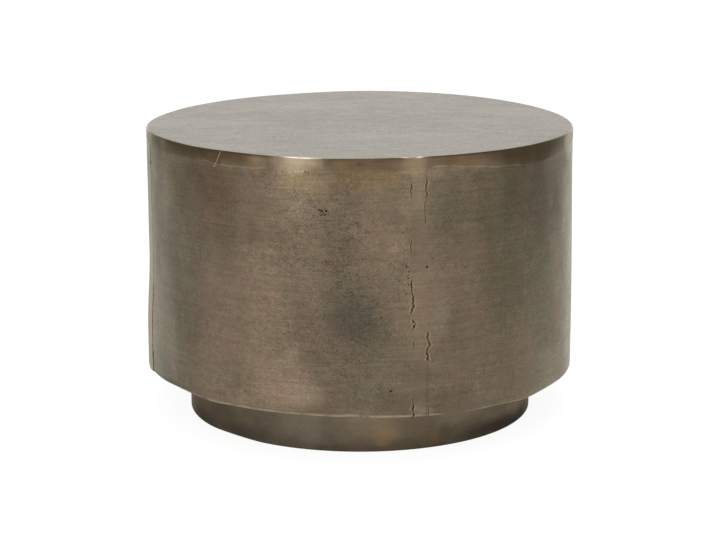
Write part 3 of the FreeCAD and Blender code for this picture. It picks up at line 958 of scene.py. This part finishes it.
# the drum is hand made: it leans out low down, its rim rises and dips, its hem tilts
warp = {
    # from one height to another, and how far the wall leans out at each
    "leftLean": (185 * mm, 95 * mm, -0.5 * mm, 2.9 * mm),
    "rightLean": (340 * mm, 100 * mm, -1.3 * mm, 1.7 * mm),
    "hemTilt": -11.5 * mm,  # rise for each metre towards +X
    "stillHeight": 200 * mm,  # the tilt begins below this height and the rim's dips above it
    "stillTop": 0.3,  # share of the top's radius that the rim's dips leave alone
    "lipBand": 45 * mm,  # height of wall that follows the line under the lip
    "hemBand": 120 * mm,  # the hem's dips reach up to this height
    "twist": 0.063,  # turn for each metre below the middle
    "middle": 0.19,
    # azimuth, spread, depth, for the hem, the line under the lip and the rim
    "hemDips": [
        (-14, 46, -1.6 * mm),
        (-30, 12, -0.8 * mm),
        (-43, 8, 1.1 * mm),
        (-54, 9, -0.7 * mm),
        (-92.5, 4, -1.1 * mm),
        (-98, 22, -0.8 * mm),
        (-131, 9, 1.3 * mm),
        (-146, 8, -0.8 * mm),
        (-148, 20, -0.6 * mm),
        (-167, 6, 2.0 * mm),
        (-172, 11, 2.8 * mm),
    ],
    "lipDips": [(-38, 34, 8.0 * mm), (-120, 30, 3.2 * mm), (-160, 20, 3.0 * mm)],
    "rimDips": [
        (157, 40, 3.4 * mm),
        (120, 35, 2.0 * mm),
        (18, 46, 2.0 * mm),
        (-103, 30, 0.6 * mm),
        (-137, 14, 0.4 * mm),
        (-60, 25, -0.25 * mm),
        (77, 25, -0.2 * mm),
    ],
}


def turnedFrom(tree, turn, azimuth):
    away = less(tree, turn, math.radians(azimuth))
    return sums(tree, "ABSOLUTE", sums(tree, "WRAP", away, math.pi, -math.pi))


def makeHandWarp():
    tree, given, result = newGroup("Geometry", "handWarp", {"Position": origin}, {"Position": origin})
    place = split(tree, given["Position"])
    height = place["Z"]
    flat = flattened(tree, place)
    outward = vectorSums(tree, "NORMALIZE", flat)
    reach = vectorSums(tree, "LENGTH", flat)
    left, right = (ease(tree, height, *warp[side]) for side in ("leftLean", "rightLean"))
    lean = blend(tree, ease(tree, split(tree, outward)["X"], -1.0, 1.0), left, right)
    lean = times(tree, lean, ease(tree, reach, 0.0, skinRadius))  # nothing leans at the middle of the top
    tilt = times(tree, place["X"], warp["hemTilt"])
    rise = times(tree, tilt, ease(tree, height, warp["stillHeight"], drum["hem"]))
    outer = ease(tree, reach, warp["stillTop"] * skinRadius, skinRadius)
    overLip = ease(tree, height, drum["top"] - 1 * mm, drum["joint"])
    underLip = ease(tree, height, drum["joint"] - warp["lipBand"], drum["joint"])
    bands = {
        "rimDips": times(tree, outer, ease(tree, height, warp["stillHeight"], drum["top"])),
        "lipDips": smaller(tree, overLip, underLip),
        "hemDips": ease(tree, height, warp["hemBand"], drum["hem"]),
    }
    turn = turnOf(tree, place)
    for dips, band in bands.items():
        for azimuth, spread, depth in warp[dips]:
            dip = ease(tree, turnedFrom(tree, turn, azimuth), math.radians(spread), 0.0, 0.0, depth)
            rise = less(tree, rise, times(tree, band, dip))
    moved = vectorSums(tree, "ADD", given["Position"], scaled(tree, outward, lean))
    moved = vectorSums(tree, "ADD", moved, joined(tree, 0.0, 0.0, rise))
    twist = times(tree, less(tree, warp["middle"], height), warp["twist"])
    inputs = {"Vector": moved, "Angle": twist}
    turned = addNode(tree, "ShaderNodeVectorRotate", inputs, rotation_type="Z_AXIS")
    deliver(tree, result, Position=turned.outputs[0])
    return tree


skinDepths = {"Swell": 0.8 * mm, "Hammer": 0.25 * mm, "Sand": 0.15 * mm}


# how far the cast skin lies under its nominal face
def makeSkinSink():
    inputs = {"Position": origin, **skinDepths}
    tree, given, result = newGroup("Geometry", "skinSink", inputs, {"Depth": 0.0})
    parts = []
    for name, scale, detail in (("Swell", 13.0, 1), ("Hammer", 48.0, 2), ("Sand", 260.0, 2)):
        parts.append(times(tree, noise(tree, given["Position"], scale, detail), given[name]))
    deliver(tree, result, Depth=plus(tree, *parts))
    return tree


handWarp = makeHandWarp()
skinSink = makeSkinSink()
sharpAngle = 0.7  # edges bent more than this, in radians, show sharp


def finishTree(tree, geometry, material, result):
    whole = addNode(tree, "GeometryNodeRealizeInstances", {"Geometry": geometry})
    smooth = addNode(tree, "GeometryNodeSetShadeSmooth", {"Geometry": whole.outputs[0]}, domain="FACE")
    bend = tree.nodes.new("GeometryNodeInputMeshEdgeAngle").outputs["Unsigned Angle"]
    limits = {"A": bend, "B": sharpAngle}
    corner = addNode(tree, "FunctionNodeCompare", limits, data_type="FLOAT", operation="GREATER_THAN")
    edges = {"Geometry": smooth.outputs[0], "Selection": corner.outputs[0], "Shade Smooth": False}
    sharp = addNode(tree, "GeometryNodeSetShadeSmooth", edges, domain="EDGE")
    dressed = addNode(tree, "GeometryNodeSetMaterial", {"Geometry": sharp.outputs[0], "Material": material})
    deliver(tree, result, Geometry=dressed.outputs[0])


def ownPlace(tree):
    return tree.nodes.new("GeometryNodeInputPosition").outputs[0]


def namedValue(tree, name):
    node = addNode(tree, "GeometryNodeInputNamedAttribute", {"Name": name}, data_type="FLOAT")
    return node.outputs["Attribute"]


def setPlaces(tree, geometry, **targets):
    return addNode(tree, "GeometryNodeSetPosition", {"Geometry": geometry, **targets}).outputs[0]


# finishes read where a point of the skin lay before the drum was bent out of true
def keepPlace(tree, geometry, place):
    inputs = {"Geometry": geometry, "Name": "castPlace", "Value": place}
    settings = {"data_type": "FLOAT_VECTOR", "domain": "POINT"}
    return addNode(tree, "GeometryNodeStoreNamedAttribute", inputs, **settings).outputs[0]


def makeBendPlate():
    inputs = {"Geometry": "Geometry", "Radius": 0.25, "Azimuth": 0.0}
    tree, given, result = newGroup("Geometry", "bendPlate", inputs, {"Geometry": "Geometry"})
    flat = split(tree, ownPlace(tree))
    turn = plus(tree, given["Azimuth"], over(tree, flat["X"], given["Radius"]))
    reach = plus(tree, given["Radius"], flat["Y"])
    across = times(tree, reach, sums(tree, "COSINE", turn))
    along = times(tree, reach, sums(tree, "SINE", turn))
    bent = joined(tree, across, along, flat["Z"])
    deliver(tree, result, Geometry=setPlaces(tree, given["Geometry"], Position=bent))
    return tree


def makeCastSkin():
    inputs = {"Geometry": "Geometry", **skinDepths, "Flaws": 1.0, "Warp": 1.0, "Material": "Material"}
    tree, given, result = newGroup("Geometry", "castSkin", inputs, {"Geometry": "Geometry"})
    place = ownPlace(tree)
    topShare = namedValue(tree, "topShare")
    outward = vectorSums(tree, "NORMALIZE", flattened(tree, split(tree, place)))
    outward = scaled(tree, outward, less(tree, 1.0, topShare))
    facing = vectorSums(tree, "ADD", outward, joined(tree, 0.0, 0.0, topShare))
    facing = vectorSums(tree, "NORMALIZE", facing)
    depths = {name: given[name] for name in skinDepths}
    sunk = placeGroup(tree, skinSink, Position=place, **depths)["Depth"]
    hollow = times(tree, placeGroup(tree, carvedFlaws, Vector=place)["Depth"], given["Flaws"])
    sunk = times(tree, plus(tree, sunk, hollow), namedValue(tree, "skin"))
    sunkPlace = vectorSums(tree, "SUBTRACT", place, scaled(tree, facing, sunk))
    bent = placeGroup(tree, handWarp, Position=sunkPlace)["Position"]
    shift = scaled(tree, vectorSums(tree, "SUBTRACT", bent, sunkPlace), given["Warp"])
    shaped = vectorSums(tree, "ADD", sunkPlace, shift)
    moved = setPlaces(tree, keepPlace(tree, given["Geometry"], place), Position=shaped)
    finishTree(tree, moved, given["Material"], result)
    return tree


bendPlate = makeBendPlate()
castSkin = makeCastSkin()


# a closed plate laid flat: x runs round the drum, y points out of it, z is up
def flatPlate(columns, rows, face, thickness):
    across, up = len(columns), len(rows)
    points = [(x, face[j], z) for j, z in enumerate(rows) for x in columns]
    faces = []
    for j in range(up - 1):
        for i in range(across - 1):
            a = j * across + i
            faces.append((a, a + 1, a + 1 + across, a + across))
    lowBack, highBack = len(points), len(points) + across
    points += [(x, -thickness, rows[0]) for x in columns] + [(x, -thickness, rows[-1]) for x in columns]
    highFront = (up - 1) * across
    for i in range(across - 1):
        faces.append((i + 1, i, lowBack + i, lowBack + i + 1))
        faces.append((highFront + i, highFront + i + 1, highBack + i + 1, highBack + i))
        faces.append((lowBack + i + 1, lowBack + i, highBack + i, highBack + i + 1))
    first = [j * across for j in range(up)]
    last = [j * across + across - 1 for j in range(up)]
    faces.append((*first, highBack, lowBack))
    faces.append((*reversed(last), lowBack + across - 1, highBack + across - 1))
    return points, faces


# heights of the rows on a rounded edge, and how far the face falls back by the distance from it
def edgeRows(radius, count):
    return radius * (1 - np.cos(np.linspace(0, math.pi / 2, count)))


def edgeDrop(distance, radius):
    drop = np.clip(1 - distance / radius, 0, 1)
    return -radius * (1 - np.sqrt(1 - drop**2))


def graded(low, high, step, edge, edgeStep):
    inner = np.linspace(low + edge, high - edge, max(2, int(round((high - low - 2 * edge) / step)) + 1))
    start = np.linspace(low, low + edge, int(round(edge / edgeStep)) + 1)[:-1]
    end = np.linspace(high - edge, high, int(round(edge / edgeStep)) + 1)[1:]
    return np.concatenate([start, inner, end])


plates = {
    "step": 1.25 * mm,
    "row": 1.0 * mm,
    "edge": 6 * mm,  # width of the finer border beside a seam
    "edgeStep": 0.5 * mm,
    "stripStep": 0.45 * mm,
    "stripRow": 0.8 * mm,
    "stripSand": 0.04 * mm,
    "hemRound": 2.0 * mm,
    "hemRows": 7,
    "hemWearAndGlint": 1.8,  # band of wear and painted highlight, in hem rounds, up from the edge
    "flangeLap": 12 * mm,
    "flangeGap": 0.2 * mm,
    "flangeColumns": 25,
    "flange": 4 * mm,
}


def seamTurn(number):
    return math.radians(drum["seamAzimuth"]) + seamStep * number


def wallRows(step):
    low, high, hem = drum["hem"], drum["joint"], plates["hemRound"]
    roundRows = low + edgeRows(hem, plates["hemRows"])
    straight = np.linspace(roundRows[-1], high, int((high - roundRows[-1]) / step) + 1)[1:]
    rows = np.concatenate([roundRows, straight])
    wornAndGlint = np.clip(plates["hemWearAndGlint"] - (rows - low) / hem, 0, 1)
    return rows, edgeDrop(rows - low, hem), wornAndGlint


# a plate of the wall, with another one behind it if there is a lining
def castPlate(name, columns, step, turn, material, lining=((), ()), **skin):
    rows, face, wornAndGlint = wallRows(step)
    points, faces = flatPlate(columns, rows, face, drum["plate"])
    morePoints, moreFaces = lining
    faces += [tuple(k + len(points) for k in f) for f in moreFaces]
    points += morePoints
    piece = newPiece(name, points, faces)
    setAttribute(piece, "skin", np.ones(len(rows) * len(columns)))
    setAttribute(piece, "wornAndGlint", np.repeat(wornAndGlint, len(columns)))
    runTree(piece, bendPlate, Radius=skinRadius, Azimuth=turn)
    runTree(piece, castSkin, Material=material, **skin)
    settle(piece)
    return piece


def makeWallPanel(number):
    half = (seamStep - seamAngle) * skinRadius / 2
    columns = graded(-half, half, plates["step"], plates["edge"], plates["edgeStep"])
    turn = seamTurn(number) + seamStep / 2
    piece = castPlate(f"wallPanel{number + 1}", columns, plates["row"], turn, wallBronze)
    stands(piece, "wall", f"wall_panel_{number + 1}")
    return piece


def makeSeamStrip(number):
    half = seamAngle * skinRadius / 2
    columns = np.linspace(-half, half, int(2 * half / plates["stripStep"]) + 1)
    lap = np.linspace(-half - plates["flangeLap"], half + plates["flangeLap"], plates["flangeColumns"])
    inner = drum["plate"] + plates["flangeGap"]
    tall = (floorHigh.z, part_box(f"seam_strip_{number + 1}")[1].z)
    lining = flatPlate(lap, tall, (-inner, -inner), inner + plates["flange"])
    turn, sand = seamTurn(number), plates["stripSand"]
    piece = castPlate(
        f"seamStrip{number + 1}", columns, plates["stripRow"], turn, seamBronze, lining, Sand=sand
    )
    stands(piece, "seam", f"seam_strip_{number + 1}")
    return piece


wallPanels = [makeWallPanel(k) for k in range(drum["seams"])]
seamStrips = [makeSeamStrip(k) for k in range(drum["seams"])]
print("drum wall cast:", sum(len(p.data.polygons) for p in wallPanels + seamStrips), "faces")

cap = {
    "segments": 720,
    "plate": 6 * mm,
    "rim": 0.8 * mm,  # edge radius, softer where hands have worn it
    # azimuth, spread, more radius
    "wornRim": [(-104, 8, 1.2 * mm), (-76, 2.6, 1.8 * mm), (178, 22, 4.2 * mm), (-4, 20, 3.6 * mm)],
    "topStep": 4 * mm,
    "border": 9 * mm,  # left free for the widest rim
    "rimRows": 9,
    "lipFrom": 5,  # row of the rim from which it faces outwards
    "lipRows": 11,
    # the corner inside: in from the lip's back, up from the plate's underside
    "fillet": [(0.0, 3 * mm), (0.9 * mm, 0.9 * mm), (3 * mm, 0.0)],
    "skin": {"Swell": 0.4 * mm, "Hammer": 0.12 * mm, "Sand": 0.03 * mm, "Flaws": 0.0},
}


# edge radius all the way round
def wornRim(turns):
    rim = np.full(len(turns), cap["rim"])
    for azimuth, spread, more in cap["wornRim"]:
        away = np.abs((np.degrees(turns) - azimuth + 180) % 360 - 180)
        rim += more * np.exp(-((away / spread) ** 2))
    return rim


# faces between rings of points, then from two middle points to the first and the last ring
def ringFaces(rings, count):
    pairs = [(i, (i + 1) % count) for i in range(count)]
    faces = []
    for k in range(0, (rings - 1) * count, count):
        faces += [(k + i, k + count + i, k + count + j, k + j) for i, j in pairs]
    last, topMiddle = (rings - 1) * count, rings * count
    for i, j in pairs:
        faces.append((topMiddle, i, j))
        faces.append((topMiddle + 1, last + j, last + i))
    return faces


def makeTopCap():
    count = cap["segments"]
    turns = np.arange(count) * 2 * math.pi / count
    rim = wornRim(turns)
    outer, top, low = skinRadius, drum["top"], drum["joint"]
    inner, under = outer - drum["plate"], top - cap["plate"]
    # from the top's middle outwards, down the lip and back below: radius, height, top share, skin, wear and
    # glint
    flat = np.linspace(cap["topStep"], outer - cap["border"], int(outer / cap["topStep"]))
    rings = [(radius, top, 1, 1, 0) for radius in flat]
    lipStart = len(rings) + cap["lipFrom"]
    for corner in np.linspace(0, math.pi / 2, cap["rimRows"]):
        sideways, upward = math.sin(corner), math.cos(corner)
        radius, height = outer - rim + rim * sideways, top - rim + rim * upward
        share = min(1.0, max(0.0, 1.5 * upward - 0.3))
        rings.append((radius, height, share, 1, math.sin(2 * corner)))
    for part in np.linspace(0, 1, cap["lipRows"] + 1)[1:]:
        rings.append((outer, top - rim + (low - top + rim) * part, 0, 1, 0))
    lipEnd = len(rings)
    rings.append((inner, low, 0, 0, 0))
    rings += [(inner - back, under + up, 0, 0, 0) for back, up in cap["fillet"]]
    rings.append((cap["topStep"], under, 0, 0, 0))
    points = []
    for radius, height, *_ in rings:
        points += zip(radius * np.cos(turns), radius * np.sin(turns), np.broadcast_to(height, count))
    points += [(0, 0, top), (0, 0, under)]
    faces = ringFaces(len(rings), count)
    piece = newPiece("topCap", points, faces)
    for name, column, middle in (("topShare", 2, 1.0), ("skin", 3, 1.0), ("wornAndGlint", 4, 0.0)):
        setAttribute(piece, name, np.append(np.repeat([row[column] for row in rings], count), middle))
    runTree(piece, castSkin, Material=capBronze, **cap["skin"])
    settle(piece)
    finish = np.zeros(len(faces), np.int32)
    finish[lipStart * count : lipEnd * count] = 1
    piece.data.materials.append(lipBronze)
    piece.data.polygons.foreach_set("material_index", finish)
    stands(piece, "top", "top_cap")


makeTopCap()

# ground flush almost everywhere, proud of the wall on a few arcs
weld = {
    "points": 1440,
    "bead": 1.9 * mm,
    "beadPoints": 10,
    "wave": 8 * mm,
    "sunk": 0.5 * mm,
    "proud": 0.6 * mm,
    "swell": 0.4 * mm,
    "arcs": [(-123, 13), (-58, 20), (28, 14), (66, 20), (118, 10), (163, 15)],  # azimuth, spread
    "full": 0.6,  # share of an arc's spread that stands all the way up
}


# how far the weld's ridge stands off the true circle
def weldRidge(tree, place, turn):
    proud = 0.0
    for azimuth, spread in weld["arcs"]:
        away = turnedFrom(tree, turn, azimuth)
        arc = ease(tree, away, math.radians(spread), math.radians(weld["full"] * spread))
        proud = larger(tree, proud, arc)
    proud = times(tree, proud, ease(tree, noise(tree, place, 75.0), 0.34, 0.6, 0.55, 1.0))
    proud = ease(tree, proud, 0.0, 1.0, -weld["sunk"], weld["proud"])
    return less(tree, proud, placeGroup(tree, skinSink, Position=place, Swell=weld["swell"])["Depth"])


def ringCurve(tree, points, radius):
    inputs = {"Resolution": points, "Radius": radius}
    return addNode(tree, "GeometryNodeCurvePrimitiveCircle", inputs).outputs["Curve"]


def makeWeldRing():
    sizes = {"Points": 720, "Radius": 0.25, "Height": 0.3, "Wave": 1.0 * mm, "Bead": 1.0 * mm}
    inputs = {"Geometry": "Geometry", **sizes, "Material": "Material"}
    tree, given, result = newGroup("Geometry", "weldRing", inputs, {"Geometry": "Geometry"})
    ring = ringCurve(tree, given["Points"], given["Radius"])
    lifted = setPlaces(tree, ring, Offset=joined(tree, 0.0, 0.0, given["Height"]))
    place = ownPlace(tree)
    level = split(tree, place)
    wander = times(tree, ripple(tree, place, 24.0, 3, 0.6), given["Wave"])
    shift = less(tree, weldRidge(tree, place, turnOf(tree, level)), given["Bead"])
    outward = vectorSums(tree, "NORMALIZE", flattened(tree, level))
    offset = vectorSums(tree, "ADD", scaled(tree, outward, shift), joined(tree, 0.0, 0.0, wander))
    waved = setPlaces(tree, lifted, Offset=offset)
    profile = ringCurve(tree, weld["beadPoints"], given["Bead"])
    swept = addNode(tree, "GeometryNodeCurveToMesh", {"Curve": waved, "Profile Curve": profile})
    meshPlace = ownPlace(tree)
    shaped = placeGroup(tree, handWarp, Position=meshPlace)["Position"]
    moved = setPlaces(tree, keepPlace(tree, swept.outputs["Mesh"], meshPlace), Position=shaped)
    finishTree(tree, moved, given["Material"], result)
    return tree


def makeRimWeld():
    piece = newPiece("rimWeld", [], [])
    sizes = {"Points": weld["points"], "Radius": skinRadius, "Height": drum["joint"]}
    runTree(piece, makeWeldRing(), **sizes, Wave=weld["wave"], Bead=weld["bead"], Material=rimBronze)
    settle(piece)
    stands(piece, "seam", "rim_weld")


makeRimWeld()
print("cap and rim weld made")


def makePlinthRing():
    radius = plinth["reach"] + plinth["swell"]
    arc = 2 * math.pi * radius - plinth["seamGap"]
    columns = np.linspace(-arc / 2, arc / 2, plinth["columns"])
    low, high, edge = plinth["low"], plinth["high"], plinth["edgeRound"]
    curl = edgeRows(edge, plinth["edgeRows"])
    straight = np.linspace(low + edge, high - edge, plinth["rows"])[1:-1]
    rows = np.concatenate([low + curl, straight, high - curl[::-1]])
    face = edgeDrop(np.minimum(rows - low, high - rows), edge)
    points, faces = flatPlate(columns, rows, face, plinth["plate"])
    middle = plinth["seamAzimuth"] - 180
    azimuth, spread, height = plinth["lift"]
    for place, (x, y, z) in enumerate(points):
        away = min(abs(middle + math.degrees(x / radius) - azimuth) / spread, 1.0)
        points[place] = (x, y, z + height * (1 - away**2) ** 2 * (high - z) / (high - low))
    piece = newPiece("plinthRing", points, faces)
    setAttribute(piece, "skin", np.ones(len(rows) * len(columns)))
    runTree(piece, bendPlate, Radius=radius, Azimuth=math.radians(plinth["seamAzimuth"] + 180))
    runTree(piece, castSkin, Material=plinthBronze, **plinth["skin"])
    settle(piece)
    stands(piece, "plinth", "plinth_ring")


makePlinthRing()
print("plinth rolled")

for node, finish in {
    "drum_floor": rawPlate,
    "drum_floor_welds": weldBead,
    "plinth_welds": weldBead,
    "lug_welds": weldBead,
    "plinth_seam": plinthBronze,
    **{f"foot_lug_{k}": rawPlate for k in range(1, 5)},
    **{f"glide_{k}": blackNylon for k in range(1, 5)},
    "glide_screws": zincSteel,
    "glide_nuts": zincSteel,
}.items():
    coat(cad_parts[node], finish)

# floor, light and camera
studio = {
    "floorSize": 12.0,
    "floorTone": (0.25, 0.25, 0.25, 1),
    "floorRoughness": 0.9,
    "floorGlow": 0.9,
    "world": 0.5,  # level that lights the matt surfaces
    # power, place, aim, width, height
    "lamps": {
        "frontSoftbox": (14, (-0.3, -2.6, 1.8), (0, 0, 0.2), 1.6, 1.6),
        "leftSoftbox": (1.5, (-0.95, 1.45, 0.3), (0, 0, 0.2), 0.6, 0.5),
        "rightSoftbox": (1.5, (0.95, 1.45, 0.3), (0, 0, 0.2), 0.6, 0.5),
        "topSoftbox": (6, (0.2, 0.2, 2.4), (0, 0, 0.3), 2.0, 2.0),
    },
}


def seenDirectly(tree):
    path = tree.nodes.new("ShaderNodeLightPath").outputs
    return larger(tree, path["Is Camera Ray"], path["Is Glossy Ray"], path["Is Transmission Ray"])


def makeFloor():
    half = studio["floorSize"] / 2
    corners = [(-half, -half, 0), (half, -half, 0), (half, half, 0), (-half, half, 0)]
    floor = newPiece("floor", corners, [(0, 1, 2, 3)])
    material, tree, shader = newMaterial("paleFloor")
    shader.inputs["Base Color"].default_value = studio["floorTone"]
    shader.inputs["Roughness"].default_value = studio["floorRoughness"]
    shader.inputs["Specular IOR Level"].default_value = 0.0
    shader.inputs["Emission Color"].default_value = white
    feed(tree, shader.inputs["Emission Strength"], times(tree, seenDirectly(tree), studio["floorGlow"]))
    coat(floor, material)


def makeWorld():
    world = bpy.data.worlds.new("studio")
    world.use_nodes = True
    scene.world = world
    tree = world.node_tree
    background = tree.nodes["Background"]
    background.inputs["Color"].default_value = white
    feed(tree, background.inputs["Strength"], ease(tree, seenDirectly(tree), 0.0, 1.0, studio["world"], 1.0))


def softbox(name, power, place, aim, width, height):
    data = bpy.data.lights.new(name, "AREA")
    data.shape = "RECTANGLE"
    data.size, data.size_y = width, height
    data.energy = power
    lamp = bpy.data.objects.new(name, data)
    scene.collection.objects.link(lamp)
    lamp.visible_camera = False
    lamp.location = place
    lamp.rotation_euler = (Vector(aim) - Vector(place)).to_track_quat("-Z", "Y").to_euler()


camera = {
    "place": (-0.0023, -2.3176, 0.7024),
    "pitch": 13.21,
    "focal": 2022.9,  # in pixels of the photograph
    "frameWidth": 716,
    "sensor": 36.0,
}


def makeCamera():
    data = bpy.data.cameras.new("photoCamera")
    data.sensor_width = camera["sensor"]
    data.lens = camera["focal"] / camera["frameWidth"] * camera["sensor"]
    lens = bpy.data.objects.new("photoCamera", data)
    scene.collection.objects.link(lens)
    lens.location = camera["place"]
    lens.rotation_euler = (math.radians(90 - camera["pitch"]), 0, 0)
    scene.camera = lens


makeFloor()
makeWorld()
for name, settings in studio["lamps"].items():
    softbox(name, *settings)
makeCamera()
scene.view_settings.view_transform = "Standard"
print("studio ready")
